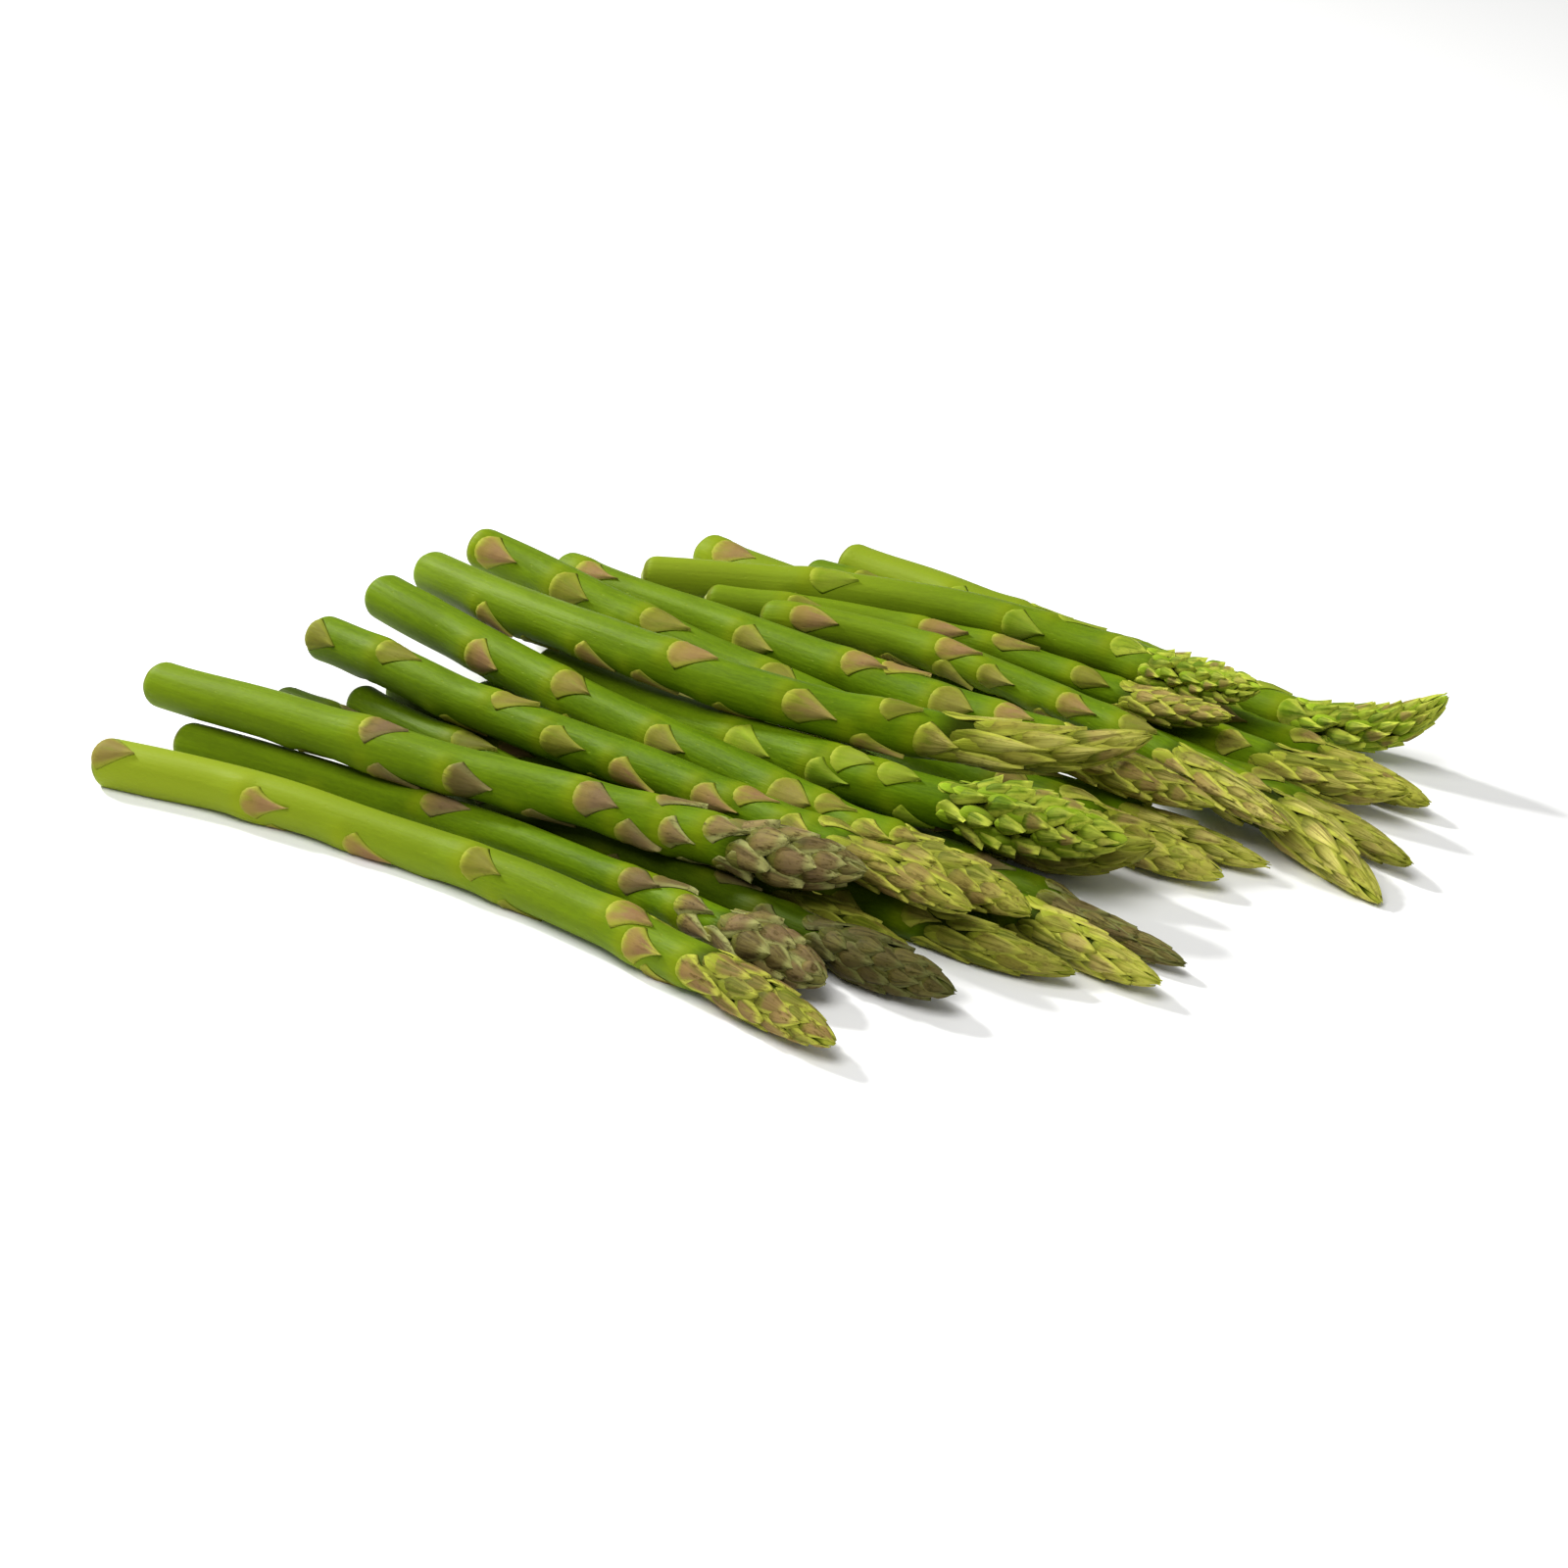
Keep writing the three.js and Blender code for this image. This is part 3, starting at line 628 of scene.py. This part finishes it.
# %% [markdown]
# ## The head
# A head is the same plan pressed together: the leaves follow the same spiral, but each covers the
# feet of the next few, like shingles. Behind each leaf sits a bud, a side shoot that would become a
# fern frond. Young heads are tight, or long-leaved and smooth. Older ones turn knobbly as the buds
# swell, or open until the gaps between the leaves show. Each style is one row: how many leaves the
# head has, `leaf` their length as a share of it and `clasp` half their width in degrees, both from
# the first to the last, `point` the range of how drawn out they are, `free` how far their points may
# stand off, and `hug` how closely their edges bend down.

# %% Pack a head
STYLE_TRAITS = ("count", "leaf", "clasp", "point", "free", "hug")
STYLE_ROWS = {
    "tight": (34, (0.32, 0.19), (44, 58), (0.1, 0.6), 0.6, 0.55),
    "long": (30, (0.4, 0.23), (38, 54), (0.2, 0.8), 0.6, 0.5),
    "knobbly": (26, (0.36, 0.24), (46, 60), (0.0, 0.4), 0.8, 0.8),
    "open": (60, (0.22, 0.15), (30, 46), (0.4, 0.9), 1.1, 0.75),
}
HEAD_STYLES = {name: dict(zip(STYLE_TRAITS, row)) for name, row in STYLE_ROWS.items()}
HEAD_BLADE = {"fill": 1.0, "thick": 0.45, "sweep": 0.2}
LAST_LEAF = 0.86  # where the last leaf starts, as a share of the head
LAST_BUD = 0.85  # the share of the leaves that have a bud behind them
BUD_AT, BUD_HALF, BUD_WIDTH = 0.55, 0.48, 0.6  # its middle, half length and width, as shares of a leaf's
BUD_OFF, BUD_HEIGHT = 0.25, 0.4  # how it stands off the core and how high it is, as shares of the room
WANDER = 14.0  # how far a leaf or a bud may stray from the spiral, in degrees


def grow_head(growth):
    row, length, chance = growth.row, growth.line.length, growth.chance
    head, style = row["head"], HEAD_STYLES[row["style"]]
    bearing = growth.leaves[-1][1] + GOLDEN_TURN
    for n in range(style["count"]):
        share = n / (style["count"] - 1)
        base = length - head * (1 - LAST_LEAF * share**0.95)
        leaf = head * float(np.interp(share, (0, 1), style["leaf"])) * chance.uniform(0.85, 1.2)
        leaf = min(leaf, length - base + chance.uniform(-1.2, 0.8))
        room = float(growth.room(base + 0.5 * leaf))
        turn = bearing + GOLDEN_TURN * n + chance.uniform(-WANDER, WANDER)
        clasp = float(np.interp(share, (0, 1), style["clasp"])) * chance.uniform(0.9, 1.1)
        relief = (0.1, 0.1, chance.uniform(0.0, style["free"]) * (1 - 0.6 * share))
        point = chance.uniform(*style["point"])
        add_blade(growth, base, turn, leaf, clasp, relief, point, hug=style["hug"], **HEAD_BLADE)
        if share < LAST_BUD:
            bud_turn = turn + chance.uniform(-WANDER, WANDER)
            size = (BUD_HALF * leaf, BUD_WIDTH * clasp, BUD_OFF * room, BUD_HEIGHT * room)
            add_bud(growth, base + BUD_AT * leaf, bud_turn, *size)


print("leaves in a head:", {name: style["count"] for name, style in HEAD_STYLES.items()})

# %% [markdown]
# ## The finish, first the helpers
# Materials are drawn as networks of small steps. A few helpers keep each network readable: one
# adds a step and wires what goes into it, the others name the steps that are used most.

# %% Wire nodes with few words
class Network:
    """A node tree that is built step by step. An input is a number, a colour or another step's output."""

    def __init__(self, tree):
        self.tree = tree

    def step(self, kind, inputs=(), **settings):
        made = self.tree.nodes.new(kind)
        for name, value in settings.items():
            setattr(made, name, value)
        for key, value in dict(inputs).items():
            if isinstance(value, bpy.types.NodeSocket):
                self.tree.links.new(value, made.inputs[key])
            else:
                made.inputs[key].default_value = value
        return made

    def share(self, name):
        """A named attribute of the mesh, as a number."""
        return self.step("ShaderNodeAttribute", attribute_name=name).outputs["Fac"]

    def straight(self, scale):
        """The place on the straightened stem, scaled."""
        place = self.step("ShaderNodeAttribute", attribute_name="straight").outputs["Vector"]
        return self.stretched(place, scale)

    def math(self, operation, a, b=0.0, c=0.0):
        return self.step("ShaderNodeMath", {0: a, 1: b, 2: c}, operation=operation).outputs[0]

    def times(self, a, b):
        return self.math("MULTIPLY", a, b)

    def most(self, a, b):
        return self.math("MAXIMUM", a, b)

    def fade(self, value, low, high, to_low=0.0, to_high=1.0):
        """value from low to high, smoothly, as to_low to to_high."""
        inputs = {"Value": value, "From Min": low, "From Max": high, "To Min": to_low, "To Max": to_high}
        return self.step("ShaderNodeMapRange", inputs, interpolation_type="SMOOTHSTEP").outputs["Result"]

    def blend(self, amount, a, b):
        """Colour a turning into colour b: a Mix node takes them in at 6 and 7 and gives a colour at 2."""
        return self.step("ShaderNodeMix", {0: amount, 6: a, 7: b}, data_type="RGBA").outputs[2]

    def stretched(self, vector, scale):
        """Coordinates scaled by an amount for each axis."""
        return self.step("ShaderNodeMapping", {"Vector": vector, "Scale": scale}).outputs["Vector"]

    def noise(self, vector, detail=3.0, roughness=0.55):
        inputs = {"Vector": vector, "Scale": 1.0, "Detail": detail, "Roughness": roughness}
        return self.step("ShaderNodeTexNoise", inputs).outputs["Fac"]

    def cells(self, vector):
        """Scattered cells: the distance to the middle of the nearest one."""
        inputs = {"Vector": vector, "Scale": 1.0, "Randomness": 1.0}
        return self.step("ShaderNodeTexVoronoi", inputs).outputs["Distance"]


COLOUR, NUMBER = "NodeSocketColor", "NodeSocketFloat"


def rgb(*colour):
    return (*colour, 1.0)


def new_group(name, inputs):
    """A group that makes a colour and a height of its inputs: its network, inputs and outputs."""
    tree = bpy.data.node_groups.new(name, "ShaderNodeTree")
    for socket, value in inputs.items():
        kind = NUMBER if isinstance(value, float) else COLOUR
        tree.interface.new_socket(socket, in_out="INPUT", socket_type=kind).default_value = value
    tree.interface.new_socket("Colour", in_out="OUTPUT", socket_type=COLOUR)
    tree.interface.new_socket("Height", in_out="OUTPUT", socket_type=NUMBER)
    entry, leave = tree.nodes.new("NodeGroupInput"), tree.nodes.new("NodeGroupOutput")
    return Network(tree), entry.outputs, leave.inputs


# %% [markdown]
# ## The skin of a stem
# Under its bloom of wax a stem is deep yellow-green with paler streaks that run its whole length, and
# it is scattered with short light pores. The streaks are noise, stretched along the straightened stem
# so that they follow each bend. A pale stem is palest at its cut end, which grew under the soil. The
# cut itself is paler still, with the ends of the strands as darker dots.

# %% Build the stem skin group
def stem_skin_group():
    colours = {
        "Green": rgb(0.066, 0.138, 0.001),
        "Light Green": rgb(0.13, 0.235, 0.002),
        "Pale Green": rgb(0.28, 0.36, 0.018),
        "Lime": rgb(0.30, 0.36, 0.006),
        "Cut": rgb(0.15, 0.17, 0.01),
        "Inside": rgb(0.42, 0.46, 0.15),
    }
    net, entry, leave = new_group("stem skin", colours)
    streaks = net.noise(net.straight((0.035, 0.9, 0.9)), detail=4.0)
    clouds = net.noise(net.straight((0.06, 0.16, 0.16)), detail=2.0)
    grain = net.noise(net.straight((0.5, 2.6, 2.6)))
    pores = net.fade(net.cells(net.straight((0.2, 0.55, 0.55))), 0.05, 0.14, 1.0, 0.0)
    strands = net.fade(net.cells(net.straight((0.0, 0.9, 0.9))), 0.3, 0.12, 0.0, 0.55)

    light_streaks = net.fade(streaks, 0.36, 0.64, 0.0, 0.45)
    lightness = net.math("ADD", light_streaks, net.fade(clouds, 0.35, 0.65, 0.0, 0.35))
    lightness = net.math("ADD", lightness, net.fade(grain, 0.38, 0.62, 0.0, 0.35))
    colour = net.blend(lightness, entry["Green"], entry["Light Green"])
    pale = net.times(net.share("pale"), net.fade(net.share("along"), 0.0, 0.75, 1.0, 0.25))
    colour = net.blend(pale, colour, entry["Pale Green"])
    colour = net.blend(net.times(net.share("collar"), 0.4), colour, entry["Lime"])
    colour = net.blend(net.times(pores, 0.3), colour, entry["Pale Green"])
    colour = net.blend(net.fade(net.share("cut"), 0.0, 0.6, 0.0, 0.7), colour, entry["Cut"])
    inside = net.blend(strands, entry["Inside"], entry["Cut"])
    colour = net.blend(net.fade(net.share("cut"), 0.65, 0.95), colour, inside)
    net.tree.links.new(colour, leave["Colour"])

    lines = net.math("MULTIPLY_ADD", streaks, 0.7, net.times(grain, 0.3))
    net.tree.links.new(net.math("MULTIPLY_ADD", pores, -0.25, lines), leave["Height"])
    return net.tree


STEM_SKIN = stem_skin_group()
print("the stem skin takes", len(STEM_SKIN.nodes), "steps")

# %% [markdown]
# ## Where on which leaf
# A scale leaf starts as a lime lip, dries to a tan or mauve film along its middle, and keeps a thin
# light edge. In a head its point stays light. All of that depends on where on the leaf a point lies,
# whether the leaf stands on the stem or in the head, and on chance, so those masks come first.

# %% Find the place on a leaf
HEAD_FROM = (0.72, 0.8)  # where the look of the leaves turns from stem to head, as a share of the spear


class LeafPlace:
    """The masks that the effects on a scale leaf share."""

    def __init__(self, net):
        self.net = net
        self.up, self.chance, self.mauve = net.share("up_leaf"), net.share("chance"), net.share("mauve")
        self.second_chance = net.math("FRACT", net.times(self.chance, 7.0))
        self.third_chance = net.math("FRACT", net.times(self.chance, 13.0))
        self.along = net.share("along")
        self.in_head = net.fade(self.along, *HEAD_FROM)
        self.from_foot = net.math("ADD", self.up, self.stem_or_head(0.1, 0.0))
        across = net.share("across")
        self.sideways = net.math("ABSOLUTE", across)
        axes = {"X": across, "Y": self.up, "Z": net.times(self.chance, 40.0)}
        place = net.step("ShaderNodeCombineXYZ", axes).outputs[0]
        veins = net.math("SUBTRACT", net.noise(net.stretched(place, (4.5, 0.7, 1.0))), 0.5)
        self.veins = net.math("MULTIPLY_ADD", veins, self.stem_or_head(0.3, 1.0), 0.5)
        self.blotches = net.noise(net.stretched(place, (1.6, 1.3, 1.0)))

    def stem_or_head(self, on_stem, in_head):
        """One number for the leaves on the stem and another for those in the head."""
        return self.net.fade(self.in_head, 0.0, 1.0, on_stem, in_head)


# %% [markdown]
# ## The film, the light streaks and the edge
# Each effect is one short function that returns a mask. The dry film lies inside the edge and starts
# above the foot. It is broken up by blotches and weak in young green heads, where a few leaves still
# blush mauve.

# %% Mask the effects on a leaf
def dry_film(net, leaf, papery):
    """How dry the leaf is, and how mauve its dry film."""
    spread = net.math("SUBTRACT", leaf.sideways, leaf.stem_or_head(0.14, 0.0))
    film = net.times(net.fade(spread, 0.92, 0.5), net.fade(leaf.from_foot, 0.1, 0.26))
    patch = net.fade(leaf.blotches, 0.25, 0.5, 0.3, 1.0)
    patch = net.times(patch, net.fade(leaf.chance, 0.1, 0.6, 0.3, 1.0))
    dry = net.times(film, net.times(patch, papery))
    green_head = net.times(leaf.in_head, net.fade(leaf.mauve, 0.4, 1.0, 0.45, 0.0))
    dry = net.times(dry, net.math("SUBTRACT", 1.0, green_head))
    on_stem = net.math("SUBTRACT", 1.0, leaf.in_head)
    mauve_on_stem = net.times(net.fade(leaf.second_chance, 0.0, 0.6, 0.6, 1.0), on_stem)
    mauve = net.times(net.most(leaf.mauve, mauve_on_stem), net.fade(leaf.up, 0.15, 0.6, 0.4, 1.1))
    blush = net.times(net.fade(leaf.third_chance, 0.4, 0.2), leaf.in_head)
    mauve = net.most(mauve, net.times(blush, 0.8))
    dry = net.most(dry, net.times(blush, net.fade(leaf.up, 0.3, 0.5, 0.0, 0.7)))
    return dry, mauve


def light_streaks(net, leaf):
    """Cream streaks between the veins, towards the point."""
    light = net.times(net.fade(leaf.veins, 0.35, 0.6, 0.25, 1.0), net.fade(leaf.up, 0.15, 0.7))
    light = net.times(light, net.fade(leaf.second_chance, 0.2, 0.7, 0.3, 1.0))
    return net.times(light, net.times(net.share("cream"), leaf.stem_or_head(0.25, 1.0)))


def lime_foot(net, leaf):
    frayed = net.math("SUBTRACT", leaf.blotches, 0.5)
    frayed = net.math("MULTIPLY_ADD", frayed, 0.5, leaf.from_foot)
    return net.times(net.fade(frayed, 0.33, 0.02), leaf.stem_or_head(1.0, 0.7))


def light_edge(net, leaf, edge_from):
    """The edge from edge_from outwards, the point, and all of the youngest leaves at the tip."""
    edge = net.times(net.math("SUBTRACT", leaf.sideways, edge_from), 3.8)
    edge = net.most(edge, net.fade(leaf.up, 0.66, 0.92, 0.0, 0.8))
    youngest = net.times(net.fade(leaf.along, 0.93, 0.99), net.fade(leaf.mauve, 0.9, 0.5, 0.2, 0.6))
    edge = net.most(edge, youngest)
    return net.times(net.fade(edge, 0.0, 1.0), leaf.stem_or_head(0.15, 0.85))


def rust_specks(net, leaf):
    specks = net.noise(net.straight((0.35, 1.0, 1.0)), detail=4.0, roughness=0.7)
    rust = net.times(net.fade(specks, 0.5, 0.68), net.fade(leaf.mauve, 0.3, 1.0, 0.5, 0.85))
    return net.times(rust, leaf.stem_or_head(0.3, 1.0))


# %% [markdown]
# ## The paper of a scale leaf
# The group lays those masks over each other, from the green or grey body of the leaf up to the rust
# on it. Fine dark lines run from the foot to the point of each leaf in a head.

# %% Build the scale leaf group
def scale_leaf_group():
    inputs = {
        "Foot": rgb(0.42, 0.46, 0.04),
        "Body": rgb(0.10, 0.145, 0.004),
        "Light Body": rgb(0.34, 0.39, 0.02),
        "Paper": rgb(0.37, 0.28, 0.05),
        "Mauve": rgb(0.29, 0.132, 0.078),
        "Edge": rgb(0.60, 0.62, 0.08),
        "Cream": rgb(0.84, 0.77, 0.2),
        "Rust": rgb(0.12, 0.08, 0.016),
        "Papery": 0.85,
        "Edge From": 0.58,
    }
    net, entry, leave = new_group("scale leaf", inputs)
    leaf = LeafPlace(net)
    tone = net.math("MULTIPLY_ADD", net.fade(leaf.veins, 0.32, 0.68), 0.5, net.times(leaf.chance, 0.5))
    body = net.blend(tone, entry["Body"], entry["Light Body"])
    dry, mauve = dry_film(net, leaf, entry["Papery"])
    colour = net.blend(dry, body, net.blend(mauve, entry["Paper"], entry["Mauve"]))
    colour = net.blend(light_streaks(net, leaf), colour, entry["Cream"])
    dark_lines = net.times(net.fade(leaf.veins, 0.44, 0.32), net.times(leaf.in_head, 0.5))
    colour = net.blend(dark_lines, colour, entry["Body"])
    colour = net.blend(lime_foot(net, leaf), colour, entry["Foot"])
    colour = net.blend(light_edge(net, leaf, entry["Edge From"]), colour, entry["Edge"])
    colour = net.blend(rust_specks(net, leaf), colour, entry["Rust"])
    net.tree.links.new(colour, leave["Colour"])
    net.tree.links.new(leaf.veins, leave["Height"])
    return net.tree


SCALE_LEAF = scale_leaf_group()
print("a scale leaf takes", len(SCALE_LEAF.nodes), "steps")

# %% [markdown]
# ## Three finishes
# The green, the open-tipped and the purple-tipped spears are the same plant at different ages. They
# share the two groups and differ in the colours and amounts that go in. The wax gives a soft gloss,
# tinted by the green beneath it, and a little light passes through the thin parts.

# %% Mix the materials
FINISHES = {
    "green_spear": {"leaf": {}, "bud": rgb(0.34, 0.38, 0.03)},
    "open_tipped_spear": {
        "leaf": {
            "Body": rgb(0.08, 0.17, 0.003),
            "Light Body": rgb(0.30, 0.44, 0.01),
            "Edge": rgb(0.68, 0.76, 0.09),
            "Rust": rgb(0.06, 0.12, 0.004),
            "Papery": 0.2,
            "Edge From": 0.45,
        },
        "bud": rgb(0.34, 0.52, 0.02),
    },
    "purple_tipped_spear": {
        "leaf": {
            "Body": rgb(0.05, 0.038, 0.012),
            "Light Body": rgb(0.22, 0.18, 0.05),
            "Mauve": rgb(0.225, 0.14, 0.075),
            "Edge": rgb(0.44, 0.45, 0.15),
            "Rust": rgb(0.07, 0.045, 0.012),
        },
        "bud": rgb(0.18, 0.17, 0.04),
    },
}
# Painted shade: the colour that spears are darkened to between the leaves of a head and deep in the heap.
PAINTED_SHADE_GREEN = rgb(0.012, 0.016, 0.0008)  # what a spear darkens to, between the leaves and in the heap
PAINTED_SHADE_SHARE = 0.9  # how nearly the core of a head reaches it
DARKEST, BRIGHTEST = 0.74, 0.16  # how nearly a spear reaches it whose pale is 0, or 0.2 and more
STEM_ROUGHNESS, LEAF_ROUGHNESS = 0.5, 0.6
BUMP = {"Strength": 0.7, "Distance": 0.0003}
WAX = {
    "Specular IOR Level": 0.06,
    "Specular Tint": rgb(0.9, 1.0, 0.2),
    "Subsurface Weight": 0.08,
    "Subsurface Radius": (0.6, 1.0, 0.15),
    "Subsurface Scale": 0.0012,
}


def mix_finish(name, finish):
    material = bpy.data.materials.new(name)
    material.use_nodes = True
    net = Network(material.node_tree)
    stem = net.step("ShaderNodeGroup", node_tree=STEM_SKIN)
    leaf = net.step("ShaderNodeGroup", node_tree=SCALE_LEAF)
    for socket, value in finish["leaf"].items():
        leaf.inputs[socket].default_value = value
    is_leaf, is_bud = net.share("leaf"), net.share("bud")
    veined = net.fade(leaf.outputs["Height"], 0.35, 0.65, 0.0, 0.6)
    bud = net.blend(veined, finish["bud"], leaf.outputs["Colour"])
    colour = net.blend(is_leaf, stem.outputs["Colour"], leaf.outputs["Colour"])
    colour = net.blend(is_bud, colour, bud)
    # Painted shade, by how deep a point lies in the head.
    shade = net.times(net.share("deep"), PAINTED_SHADE_SHARE)
    # Painted shade over the spears whose pale is below 0.2, which lie deep in the heap; every spear is
    # also made a little darker all over.
    dimming_and_heap_shade = net.fade(net.share("pale"), 0.0, 0.2, DARKEST, BRIGHTEST)
    colour = net.blend(net.most(shade, dimming_and_heap_shade), colour, PAINTED_SHADE_GREEN)
    grown = net.most(is_leaf, is_bud)
    height = net.math("ADD", stem.outputs["Height"], net.times(grown, leaf.outputs["Height"]))
    bump = net.step("ShaderNodeBump", {"Height": height, **BUMP})
    roughness = net.fade(grown, 0.0, 1.0, STEM_ROUGHNESS, LEAF_ROUGHNESS)
    shader = material.node_tree.nodes["Principled BSDF"]
    link = material.node_tree.links.new
    link(colour, shader.inputs["Base Color"])
    link(bump.outputs["Normal"], shader.inputs["Normal"])
    link(roughness, shader.inputs["Roughness"])
    for socket, value in WAX.items():
        shader.inputs[socket].default_value = value
    return material


materials = {name: mix_finish(name, finish) for name, finish in FINISHES.items()}
print(len(materials), "finishes")

# %% [markdown]
# ## Grow the bundle
# Every spear takes its own seed, so it can change without changing its neighbours. It rides on the
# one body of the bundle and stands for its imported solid.

# %% Grow every spear
OPEN_TIPPED = ("spear_11", "spear_21", "spear_24")
PURPLE_TIPPED = ("spear_02", "spear_03", "spear_04", "spear_10")


def finish_of(name):
    if name in OPEN_TIPPED:
        return "open_tipped_spear"
    return "purple_tipped_spear" if name in PURPLE_TIPPED else "green_spear"


triangles = 0
for seed, (name, row) in enumerate(SPEARS.items(), 1):
    growth = Growth(row, lines[name], leaves_below[name], np.random.default_rng(seed))
    grow_stem(growth)
    grow_stem_leaves(growth)
    grow_head(growth)
    piece = growth.to_object("grown_" + name)
    piece.data.materials.append(materials[finish_of(name)])
    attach(piece, "root")
    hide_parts(name)
    piece.data.calc_loop_triangles()
    triangles += len(piece.data.loop_triangles)
print(triangles, "triangles in all spears")

# %% [markdown]
# ## The size of the bundle
# The fine spears fill the imported solids, and how far each corner of the box has moved is printed.
# The fine bundle may not outgrow the imported one.


new_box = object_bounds()
grown = [[round((b - a) / MM, 2) for a, b in zip(*pair)] for pair in zip(cad_box, new_box)]
print("the lower and upper corner of the box have moved by, in mm:", grown)
